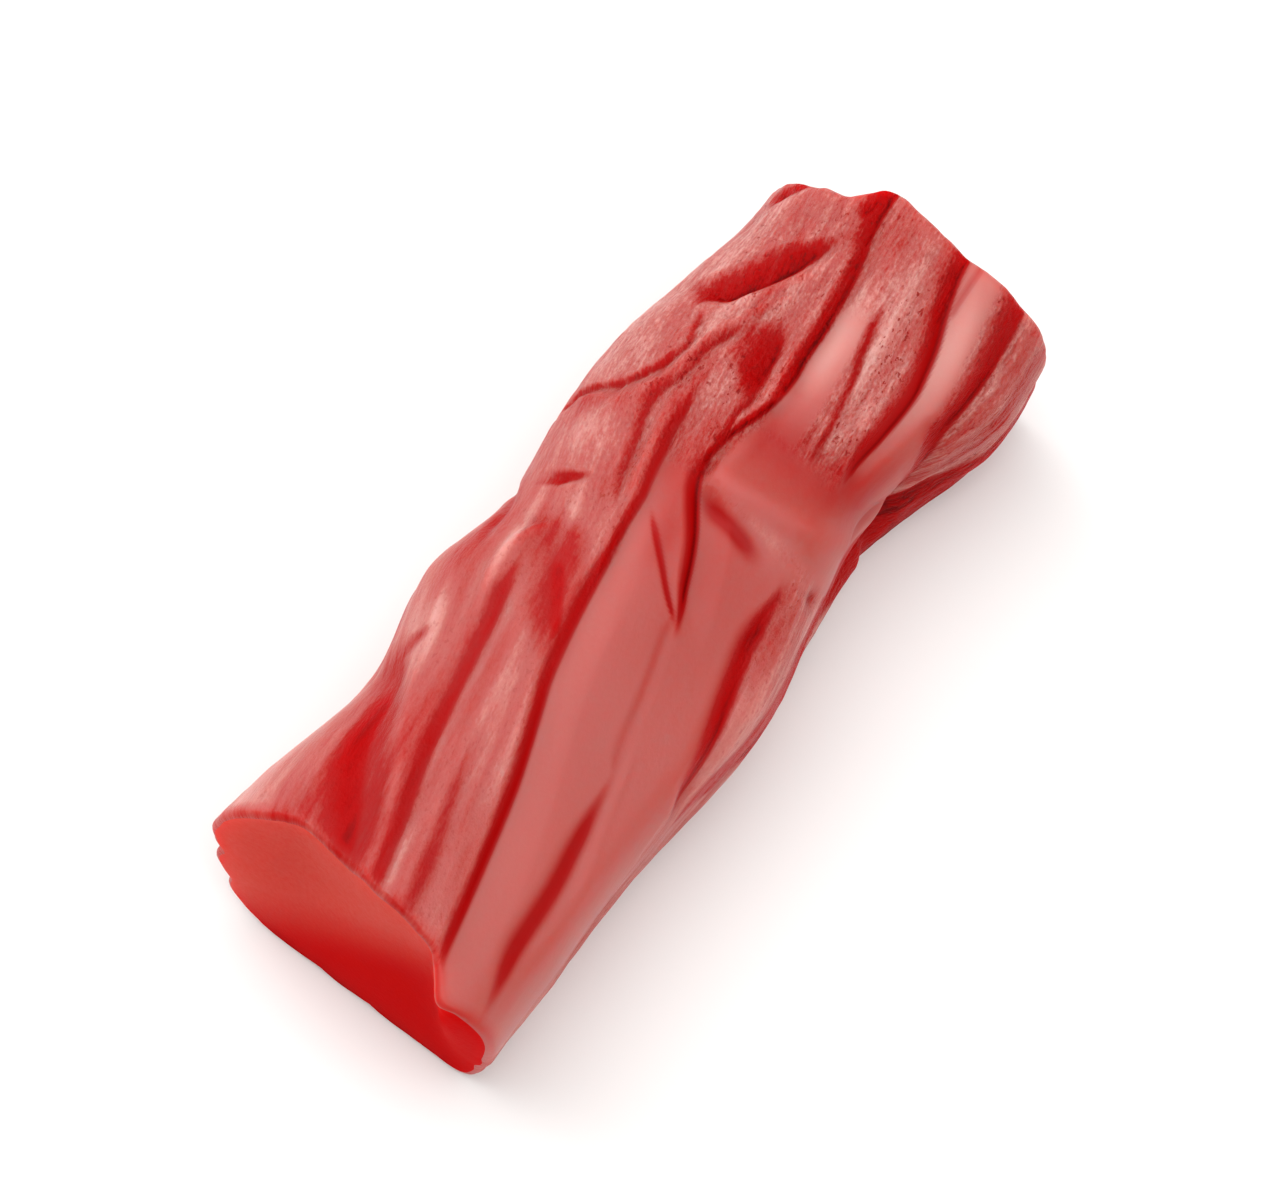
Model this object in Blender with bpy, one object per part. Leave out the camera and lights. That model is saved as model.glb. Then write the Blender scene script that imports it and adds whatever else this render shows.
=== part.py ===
"""A piece of soft red licorice, cut from a twisted and ridged rope of candy.

The piece lies along X with its near cut at -X. Its skin is a radius about the long axis,
a function of s, the millimetres along from the near cut, and of a, the degrees around
from the middle of the shown side (minus towards +Y, plus towards -Y):

    radius = rounded square, with a flat underside, plus the swell of each side
             - the folds of the shown side - the twisted ridges of the hidden side

A fold is a line a(s) or s(a) with a valley section. Lengths are in millimetres and angles
in degrees until the mesh is made, which is in metres.
"""
import bpy
import numpy as np

# Driving dimensions
HALF_WIDTH = 8.7
TOP_HALF_HEIGHT = 7.75
BOTTOM_HALF_HEIGHT = 10.0
SQUARENESS = 2.6
FLOOR_BELOW_AXIS = 7.6
FLOOR_PRESS = 0.14
SHOWN_SIDE_TILT = 14.0
GIRTH_RADIUS = 8.6
EDGE_ROUNDING = 0.4
CROWDING = 0.4
CUT_DOME = 0.25

# Ridges of the hidden side
RIDGES = 14
RIDGE_DEPTH = 0.75
SLOPE_SHARE = 0.38
RIDGE_PHASE = 150.0
RIDGE_WANDER = 0.24
RIDGE_UNEVENNESS = 0.6
SHOWN_SIDE_END = 74.0
HIDDEN_SIDE_START = 98.0
LUMP_HEIGHT = 0.15

# Mesh
AROUND = 108
ALONG = 49
END_ROW = 0.2
CUT_RINGS = (0.75, 0.4)

# Cuts: how far along each one lies at its top as (y, millimetres along)
LENGTH = 46.0
NEAR_CUT_WAVE = ((-9.5, -0.4), (-8, -0.8), (-6.8, -1.0), (-6.2, -0.3), (-5.6, 0.4), (-4, 0.9),
                 (-1.6, 1.1), (2, 1.5), (4, 1.6), (6.5, 0.8), (9, 0))
FAR_CUT_WAVE = ((-9, 0), (-6, -0.2), (-2.8, -0.35), (0, 0), (2.2, 0.1), (3.3, -1.1), (5, -1.4),
                (7, -1.6), (9, -1.8))

# Twist of the ridges as (millimetres along, degrees around)
TWIST = ((-2, 4), (0, 0), (12, -25), (23, -45), (30, -57), (38, -66), (48, -78))

# Swell of the two sides as (millimetres along, millimetres outwards)
LEFT_SWELL = ((-2, 0.2), (0, 0.1), (5, -0.4), (11, -1.3), (17, 0.2), (22, -0.6), (28, 0.3),
              (33, 0.7), (37, 0.0), (41, -0.6), (48, -0.4))
RIGHT_SWELL = ((-2, 0.3), (0, 0.2), (5, 0.1), (11, -0.3), (17, -0.1), (22, 0.1), (28, -1.3),
               (33, -2.4), (37, -1.8), (41, -0.3), (48, -1.0))
SIDE_CENTRE = 90.0
SIDE_SPREAD = 44.0
SHOULDER = ((-2, 0.8), (6, 0.7), (14, 0.5), (22, 0.4), (28, -0.2), (34, -0.4), (40, 0.3), (48, 0.2))

# Folds along the piece: path of the crease as (millimetres along, degrees around), depth,
# breadth of the slope down to it on its left and of the rise on its right, rounding, and
# the lengths over which it fades in and out (0 where it runs through a cut). Crests have a
# depth below 0.
LONG_FOLDS = {
    "near hollow": (((-2, -17), (2.3, -24), (3.8, -28), (5.1, -33), (6.6, -40), (7.9, -46),
                     (9.5, -53), (11, -61), (12.5, -70)), 1.1, 3.6, 1.4, 1.0, 0, 3),
    "groove left of the crown": (((-2, 1), (2.2, -9), (4.8, -14.5), (7.4, -20.5), (10.3, -28),
                                  (13.8, -37), (17.5, -45), (20, -50)),
                                 0.55, 1.1, 1.6, 0.5, 0, 4),
    "shallow groove": (((-2, 14), (1.1, 8), (4.1, 2), (6.5, -4), (9, -11), (11, -15)),
                       0.3, 0.9, 1.2, 0.6, 0, 5),
    "long groove": (((-2, 33), (0.9, 29), (4.8, 23), (7.1, 19), (9.8, 12), (11.7, 6.5),
                     (13.2, 1), (14.7, -4), (17.3, -10), (19.9, -14), (22.5, -18),
                     (24.4, -22), (27.2, -30), (29.7, -37), (32.5, -42)),
                    0.7, 1.15, 2.2, 0.4, 0, 8),
    "near right groove": (((-1, 53), (0.3, 51), (3.7, 47.5), (7.2, 44), (10.1, 40),
                           (12.8, 36), (14.5, 32.5)), 0.5, 1.5, 1.4, 0.5, 5, 6),
    "main groove": (((20.5, 20), (21.7, 16), (22.6, 12), (23.8, 8), (24.9, 4), (26, -2),
                     (27.2, -7), (28.4, -12), (29.3, -14), (30.5, -14), (31.9, -10.5),
                     (32.9, -9), (34.3, -10), (36.6, -12), (39.1, -14.5), (40.9, -17),
                     (42.5, -21), (44, -23), (48, -27)), 0.8, 1.05, 1.8, 0.3, 3, 0),
    "fork of the main groove": (((20.9, 18), (21.5, 14), (22.2, 8), (22.8, 1), (23.4, -6),
                                 (24.2, -14), (24.8, -18)), 0.25, 0.45, 0.8, 0.3, 1, 1.5),
    "right middle groove": (((14.8, 82), (17, 72), (18.2, 64), (19.3, 57.5), (20.6, 53.5),
                             (21.8, 51), (22.9, 49), (24.1, 46), (25.1, 43.5), (27, 38)),
                            0.6, 1.5, 1.4, 0.4, 2, 4),
    "far middle hollow": (((31.2, -17.5), (32.1, -18), (33.2, -19), (34.2, -20), (35.5, -22),
                           (36.4, -24), (37.6, -26.5), (39, -29)), 0.8, 2.1, 1.0, 0.5, 1.5, 2),
    "left middle line": (((21.5, -22), (22.9, -26), (23.9, -30), (25.2, -34), (26.5, -38),
                          (27.8, -42), (29.1, -44), (30.4, -43), (32.1, -42), (34, -42),
                          (37, -38)), 0.45, 1.1, 1.0, 0.6, 3, 2),
    "left crease": (((27.5, -82), (28.3, -72), (28.9, -64), (29.7, -60), (30.6, -56),
                     (31.6, -53), (33.5, -52)), 0.4, 0.7, 1.2, 0.25, 1.5, 1),
    "far left hollow": (((33, -60), (34.2, -58), (35.1, -56), (35.7, -53), (36.6, -50),
                         (37.7, -46), (38.8, -42), (39.9, -38), (41.2, -34), (43, -30)),
                        1.1, 2.6, 1.2, 0.5, 2, 1.5),
    "left nick": (((18.6, -62), (20.2, -67), (21.4, -70), (23.1, -83), (24, -92)),
                  0.5, 0.8, 0.7, 0.3, 2, 1),
    "small left nick": (((22.6, -64), (23.1, -60), (23.6, -56), (24.4, -50), (25.4, -45)),
                        0.35, 0.6, 0.6, 0.3, 0.6, 0.6),
    "soft hollow": (((14, -9), (16.5, -15), (17.6, -18), (18.9, -22), (20, -27), (21.1, -33),
                     (22, -38), (23, -46)), 0.6, 3.6, 0.8, 1.6, 4, 2),
    "left crest": (((16, -58), (18, -55), (19.5, -53), (20.9, -51), (21.8, -48), (22.8, -42),
                    (24, -36), (26, -30)), -0.35, 0.9, 0.9, 0.5, 2, 2),
    "left middle crest": (((24, -52), (27, -54), (30, -50), (32, -48)), -0.3, 1.4, 1.4,
                          0.8, 2, 2),
    "far left crest": (((33, -53), (35.3, -51), (36.5, -46), (38, -40.5), (39.5, -36),
                        (41, -32)), -0.25, 0.6, 0.7, 0.3, 1.5, 1.5),
    "far top crest": (((42, -37), (44, -37), (48, -40)), -0.25, 0.8, 0.7, 0.4, 2, 0),
    "far top groove": (((42.8, -32), (44.2, -31.5), (48, -33)), 0.35, 0.7, 0.5, 0.3, 1, 0),
    "far left notch": (((42.2, -69), (43.5, -65), (44.1, -60), (44.7, -55), (48, -44)),
                       0.5, 0.9, 0.8, 0.3, 1.2, 0),
    "far middle groove": (((31.4, 16), (33.5, 13), (35.8, 9.5), (37, 7), (38.3, 3.5),
                           (39.9, -0.5), (41.5, -3)), 0.3, 0.9, 1.6, 0.6, 1.5, 2.5),
    "far right groove": (((31.5, 31), (33.5, 30.5), (35.6, 30.5), (37.1, 30), (38.5, 28.5),
                          (39.6, 26), (41, 22.5), (42.6, 17.5), (44.1, 13.5), (45.8, 10.5),
                          (48, 8)), 0.65, 1.3, 1.2, 0.25, 3, 0),
    "far right hollow": (((33, 84), (34.5, 76), (36, 65), (37.2, 56), (38.3, 51), (39.8, 47.5),
                          (41.3, 44.5), (43.1, 42), (44.4, 40), (45.9, 36.5), (48, 31)),
                         0.6, 1.8, 1.5, 0.3, 1.5, 0),
}

# Folds across the piece: path as (degrees around, millimetres along), depth, half-width,
# and the degrees over which both ends fade
CROSS_FOLDS = {
    "pinched band": (((-16, 28.0), (-12, 28.2), (5, 28.6), (26, 29.3), (45, 30.4),
                      (62, 31.6)), -0.25, 0.9, 10),
    "pressed band": (((-14, 32.4), (10, 32.6), (40, 33.0), (66, 33.6)), 0.4, 1.9, 12),
}
FAR_CUT_SHALLOWER = 0.35

# Flat facet that was pressed on the near half
CROWN_FACING = 14.0
CROWN_HEIGHT = 7.85
CROWN_LENGTH = ((-2, 1.2), (4, 0.4), (10, 0), (26, 0), (31, 0.8), (48, 2))


def follow(points, x):
    """Height at x of the smooth curve through the points."""
    xs, ys = np.array(points, float).T
    slopes = np.gradient(ys, xs)
    x = np.clip(x, xs[0], xs[-1])
    i = np.clip(np.searchsorted(xs, x) - 1, 0, len(xs) - 2)
    h = xs[i + 1] - xs[i]
    f = (x - xs[i]) / h
    start = ys[i] * (1 + 2 * f) + h * slopes[i] * f
    end = ys[i + 1] * (3 - 2 * f) + h * slopes[i + 1] * (f - 1)
    return start * (1 - f) ** 2 + end * f ** 2


def ease(x, start, end):
    """0 before start, 1 after end, smooth between; a step where the two are one."""
    if start == end:
        return (x >= start).astype(float)
    f = np.clip((x - start) / (end - start), 0, 1)
    return f * f * (3 - 2 * f)


def wrap(degrees):
    return (degrees + 180) % 360 - 180


def soft_least(p, q, sharpness=3.0):
    return -np.logaddexp(-sharpness * p, -sharpness * q) / sharpness


def body(s, a):
    """Radius of the piece without its folds and ridges."""
    up = np.radians(a + SHOWN_SIDE_TILT)
    half_height = np.where(np.cos(up) > 0, TOP_HALF_HEIGHT, BOTTOM_HALF_HEIGHT)
    flat = np.abs(np.sin(up) / HALF_WIDTH) ** SQUARENESS
    tall = np.abs(np.cos(up) / half_height) ** SQUARENESS
    r = (flat + tall) ** (-1 / SQUARENESS)
    r = r + follow(LEFT_SWELL, s) * np.exp(-(wrap(a + SIDE_CENTRE) / SIDE_SPREAD) ** 2)
    r = r + follow(RIGHT_SWELL, s) * np.exp(-(wrap(a - SIDE_CENTRE) / SIDE_SPREAD) ** 2)
    r = r + follow(SHOULDER, s) * np.exp(-(wrap(a - 52) / 26) ** 2)
    crown = (CROWN_HEIGHT + follow(CROWN_LENGTH, s)) / np.maximum(
        np.cos(np.radians(a - CROWN_FACING)), 0.2)
    floor = (FLOOR_BELOW_AXIS + FLOOR_PRESS) / np.maximum(-np.cos(up), 0.05)
    return soft_least(soft_least(r, crown), floor)


def shown_folds(s, a):
    """Depth of the folds of the shown side."""
    millimetres = np.radians(GIRTH_RADIUS)
    depth_here = np.zeros_like(s)
    for path, depth, slope, rise, rounding, fade_in, fade_out in LONG_FOLDS.values():
        lean = (follow(path, s + 0.1) - follow(path, s - 0.1)) / 0.2 * millimetres
        distance = wrap(a - follow(path, s)) * millimetres / np.sqrt(1 + lean ** 2)
        rounded = np.sqrt(distance ** 2 + rounding ** 2)
        start, end = path[0][0], path[-1][0]
        fade = ease(s, start, start + fade_in) * (1 - ease(s, end - fade_out, end))
        section = (np.clip(1 + (distance - rounded) / 2 / slope, 0, 1) ** 1.5 *
                   np.clip(1 - (distance + rounded) / 2 / rise, 0, 1) ** 1.5)
        depth_here += depth * fade * section
    depth_here *= 1 - FAR_CUT_SHALLOWER * ease(s, LENGTH - 5, LENGTH)
    for path, depth, half_width, fade in CROSS_FOLDS.values():
        start, end = path[0][0], path[-1][0]
        shown = ease(a, start, start + fade) * (1 - ease(a, end - fade, end))
        depth_here += depth * shown * np.exp(-((s - follow(path, a)) / half_width) ** 2)
    return depth_here


def lumps(s, a, cell, seed):
    """Smooth random height from -1 to 1 that closes round the girth."""
    count = int(2 * np.pi * GIRTH_RADIUS / cell)
    grid = np.random.default_rng(seed).uniform(-1, 1, (int(52 / cell) + 3, count))
    u, v = (s + 3) / cell, a % 360 / 360 * count
    i, j = np.floor(u).astype(int), np.floor(v).astype(int)
    f, g = ease(u - i, 0, 1), ease(v - j, 0, 1)
    near = grid[i, j % count] * (1 - g) + grid[i, (j + 1) % count] * g
    far = grid[i + 1, j % count] * (1 - g) + grid[i + 1, (j + 1) % count] * g
    return near * (1 - f) + far * f


def hidden_ridges(s, a):
    """Depth between the ridges that twist round the rest of the piece."""
    turns = (RIDGES * (a - follow(TWIST, s)) + RIDGE_PHASE) / 360
    across = (turns + RIDGE_WANDER * lumps(s, a, 7.0, 11)) % 1
    depth = RIDGE_DEPTH * (1 + RIDGE_UNEVENNESS * lumps(s, a, 6.0, 12))
    depth = depth * (0.6 + 0.4 * ease(s, 0, 8))
    slope = np.minimum(across / SLOPE_SHARE, 1) ** 2
    rise = np.minimum((1 - across) / (1 - SLOPE_SHARE), 1) ** 1.5
    return depth * slope * rise


def radius(s, a):
    hidden = ease(np.abs(wrap(a)), SHOWN_SIDE_END, HIDDEN_SIDE_START)
    relief = shown_folds(s, wrap(a)) + hidden * hidden_ridges(s, a)
    return body(s, a) - relief + LUMP_HEIGHT * lumps(s, a, 5.0, 3)


def near_cut(y, z):
    """How far along the near cut lies."""
    return follow(NEAR_CUT_WAVE, y) * ease(z, -6, 5)


def far_cut(y, z):
    """How far along the far cut lies."""
    return LENGTH + follow(FAR_CUT_WAVE, y) * ease(z, -6, 5)


def section(s, a, inset):
    """Height and breadth of the skin's points."""
    r = radius(s, a) - inset
    up = np.radians(a + SHOWN_SIDE_TILT)
    return -r * np.sin(up), np.maximum(r * np.cos(up), -FLOOR_BELOW_AXIS)


def skin(along, a):
    """Points of the side, from 0 at the near cut to 1 at the far one."""
    near = near_cut(*section(0 * a, a, 0))
    far = far_cut(*section(0 * a + LENGTH, a, 0))
    s = near + along * (far - near)
    from_cut = np.minimum(along, 1 - along) * (far - near)
    bend = np.clip(1 - from_cut / EDGE_ROUNDING, 0, 1)
    y, z = section(s, a, EDGE_ROUNDING * (1 - np.sqrt(1 - bend ** 2)))
    return np.stack([s, y, z], axis=-1)


def cut_rings(edge, rings, cut, outward):
    """Rings that close a cut from its edge to its middle point."""
    middle = edge.mean(axis=0)
    levels = []
    for t in rings + (0,):
        ring = middle + (edge - middle) * t
        ring[:, 0] = cut(ring[:, 1], ring[:, 2]) + outward * CUT_DOME * (1 - t * t)
        levels.append(ring)
    return levels[:-1], levels[-1][0]


def piece_mesh(around, rows, rings):
    """Vertices and faces of the closed piece, with its base centre at the origin."""
    turn = np.arange(around) * 360.0 / around
    along = rows[:, None] + 0 * turn
    angle = turn + follow(TWIST, along * LENGTH)
    side = skin(along, angle - np.degrees(CROWDING * np.sin(np.radians(angle))))
    near, near_middle = cut_rings(side[0], rings, near_cut, -1)
    far, far_middle = cut_rings(side[-1], rings, far_cut, 1)
    levels = near[::-1] + list(side) + far
    vertices = np.concatenate(levels + [near_middle[None], far_middle[None]])
    column = np.arange(around)
    start = (np.arange(len(levels) - 1) * around)[:, None]
    following = (column + 1) % around
    quads = np.stack([start + column, start + following, start + around + following,
                      start + around + column], axis=-1).reshape(-1, 4)
    last = (len(levels) - 1) * around
    near_fan = np.stack([following, column, 0 * column + len(vertices) - 2], axis=-1)
    far_fan = np.stack([last + column, last + following, 0 * column + len(vertices) - 1],
                       axis=-1)
    low, high = vertices.min(axis=0), vertices.max(axis=0)
    vertices -= [(low[0] + high[0]) / 2, (low[1] + high[1]) / 2, low[2]]
    return vertices * 0.001, quads.tolist() + near_fan.tolist() + far_fan.tolist()


def candy_material():
    material = bpy.data.materials.new("red licorice")
    material.use_nodes = True
    shader = material.node_tree.nodes["Principled BSDF"]
    shader.inputs["Base Color"].default_value = (0.46, 0.030, 0.030, 1)
    shader.inputs["Roughness"].default_value = 0.42
    shader.inputs["Metallic"].default_value = 0
    return material


for old in list(bpy.data.objects):
    bpy.data.objects.remove(old)

middle_rows = np.linspace(0.03, 0.97, ALONG - 4)
end_rows = np.array([0, END_ROW / LENGTH])
rows = np.concatenate([end_rows, middle_rows, 1 - end_rows[::-1]])
vertices, faces = piece_mesh(AROUND, rows, CUT_RINGS)
mesh = bpy.data.meshes.new("licorice")
mesh.from_pydata(vertices.tolist(), [], faces)
mesh.materials.append(candy_material())
mesh.shade_smooth()
piece = bpy.data.objects.new("licorice", mesh)
bpy.context.scene.collection.objects.link(piece)
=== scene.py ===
"""Studio scene of one piece of soft red licorice.

The skin is a radius about the long axis, a function of s, the millimetres along from the
near cut, and of a, the degrees around from the middle of the shown side (minus towards +Y):

    radius = rounded square, plus the swell of each side and of the shoulder,
             cut off by the pressed crown and by the flat underside
             - the folds of the shown side - the twisted ridges of the hidden side
             + low lumps, and the fine streaks and wrinkles of the stretched candy

A fold is a line a(s) or s(a) with a valley section. Lengths are in millimetres and angles
in degrees, except the finished mesh and the studio, which are in metres.
"""
import math
import bpy
import numpy as np
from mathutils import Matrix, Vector


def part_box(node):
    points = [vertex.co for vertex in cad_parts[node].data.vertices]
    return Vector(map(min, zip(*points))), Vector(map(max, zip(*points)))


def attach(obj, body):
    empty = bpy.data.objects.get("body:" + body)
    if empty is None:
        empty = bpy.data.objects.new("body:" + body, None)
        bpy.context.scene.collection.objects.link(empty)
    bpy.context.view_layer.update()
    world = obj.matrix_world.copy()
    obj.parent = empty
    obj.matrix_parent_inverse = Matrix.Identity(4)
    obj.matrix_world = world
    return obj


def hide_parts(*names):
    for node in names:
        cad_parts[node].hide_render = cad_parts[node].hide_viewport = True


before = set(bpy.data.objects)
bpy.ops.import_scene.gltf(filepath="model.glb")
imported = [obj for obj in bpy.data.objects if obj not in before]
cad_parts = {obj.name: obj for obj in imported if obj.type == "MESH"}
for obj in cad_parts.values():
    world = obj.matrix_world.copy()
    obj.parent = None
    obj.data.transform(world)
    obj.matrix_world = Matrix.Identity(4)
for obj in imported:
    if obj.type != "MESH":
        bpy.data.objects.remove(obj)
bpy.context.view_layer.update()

MM = 0.001

# Driving dimensions: length without the waves and domes of the cuts, the rounded square of
# the cross-section, how far below the axis its underside is flat and how much is pressed
# away there, and how many degrees the middle of the shown side is turned from the top
LENGTH = 46.0
HALF_WIDTH = 8.7
TOP_HALF_HEIGHT = 7.75
BOTTOM_HALF_HEIGHT = 10.0
SQUARENESS = 2.6
FLOOR_BELOW_AXIS = 7.6
FLOOR_PRESS = 0.14
SHOWN_SIDE_TILT = 14.0

# Mean radius, which turns degrees around into millimetres
GIRTH_RADIUS = 8.6
MM_PER_DEGREE = math.radians(GIRTH_RADIUS)

# Ridges of the hidden side: how many and how deep, the share of a ridge that is its slope,
# the turn of the first, their share of the depth at the near cut and where it is full, and
# how far from its middle the shown side ends and they are full
RIDGES = 14
RIDGE_DEPTH = 0.75
SLOPE_SHARE = 0.38
RIDGE_PHASE = 150.0
NEAR_CUT_RIDGES = 0.6
RIDGES_FULL_FROM = 8.0
SHOWN_SIDE_END = 74.0
HIDDEN_SIDE_START = 98.0

# Shares of a ridge over which its slope turns to painted shade, clear red, and the soft end
# at its crease
RIDGE_TURNS_SHADED = (0.12, 0.24)
RIDGE_CREASE_BORDER = 0.03

# Random unevenness as (amount, millimetres along, millimetres around, seed): how far the
# ridges wander, how much their depth varies, and the low lumps of the whole skin. Its grid
# reaches a margin past both ends
RIDGE_WANDER = (0.24, 7.0, 7.0, 11)
RIDGE_UNEVENNESS = (0.6, 6.0, 6.0, 12)
LOW_LUMPS = (0.15, 5.0, 5.0, 3)
UNEVENNESS_MARGIN = 3.0

# Fine relief of the skin, in the same way: streaks run with the twist, wrinkles lie anyhow.
# It is stronger on the far half and mostly gone where the skin was pressed
STREAKS = ((0.024, 2.6, 0.5, 21), (0.013, 1.5, 0.26, 22))
WRINKLES = ((0.020, 1.1, 0.8, 23), (0.010, 0.5, 0.45, 24))
NEAR_HALF_RELIEF = 0.9
FAR_HALF_RELIEF = 1.8
FAR_HALF_BEGINS = (20, 32)
PRESSED_SMOOTHING = 0.85

# Cuts: rounding of the edge, height of the dome, how far along each one lies at its top as
# (y, millimetres along), and the heights between which that comes in
EDGE_ROUNDING = 0.4
CUT_DOME = 0.25
NEAR_CUT_WAVE = ((-9.5, -0.4), (-8, -0.8), (-6.8, -1.0), (-6.2, -0.3), (-5.6, 0.4), (-4, 0.9),
                 (-1.6, 1.1), (2, 1.5), (4, 1.6), (6.5, 0.8), (9, 0))
FAR_CUT_WAVE = ((-9, 0), (-6, -0.2), (-2.8, -0.35), (0, 0), (2.2, 0.1), (3.3, -1.1), (5, -1.4),
                (7, -1.6), (9, -1.8))
CUT_WAVE_HEIGHTS = (-6, 5)

# Twist of the ridges as (millimetres along, degrees around)
TWIST = ((-2, 4), (0, 0), (12, -25), (23, -45), (30, -57), (38, -66), (48, -78))

# Swell of the two sides as (millimetres along, millimetres outwards)
LEFT_SWELL = ((-2, 0.2), (0, 0.1), (5, -0.4), (11, -1.3), (17, 0.2), (22, -0.6), (28, 0.3),
              (33, 0.7), (37, 0.0), (41, -0.6), (48, -0.4))
RIGHT_SWELL = ((-2, 0.3), (0, 0.2), (5, 0.1), (11, -0.3), (17, -0.1), (22, 0.1), (28, -1.3),
               (33, -2.4), (37, -1.8), (41, -0.3), (48, -1.0))
SIDE_CENTRE = 90.0
SIDE_SPREAD = 44.0

# Swell of the shoulder, right of the crown, in the same way
SHOULDER = ((-2, 0.8), (6, 0.7), (14, 0.5), (22, 0.4), (28, -0.2), (34, -0.4), (40, 0.3), (48, 0.2))
SHOULDER_CENTRE = 52.0
SHOULDER_SPREAD = 26.0

# Flat crown that was pressed on the near half: the degrees around that it faces, its
# distance from the axis, and how much further out it lies as (millimetres along,
# millimetres outwards)
CROWN_FACING = 14.0
CROWN_HEIGHT = 7.85
CROWN_RISE = ((-2, 1.2), (4, 0.4), (10, 0), (26, 0), (31, 0.8), (48, 2))
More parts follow.
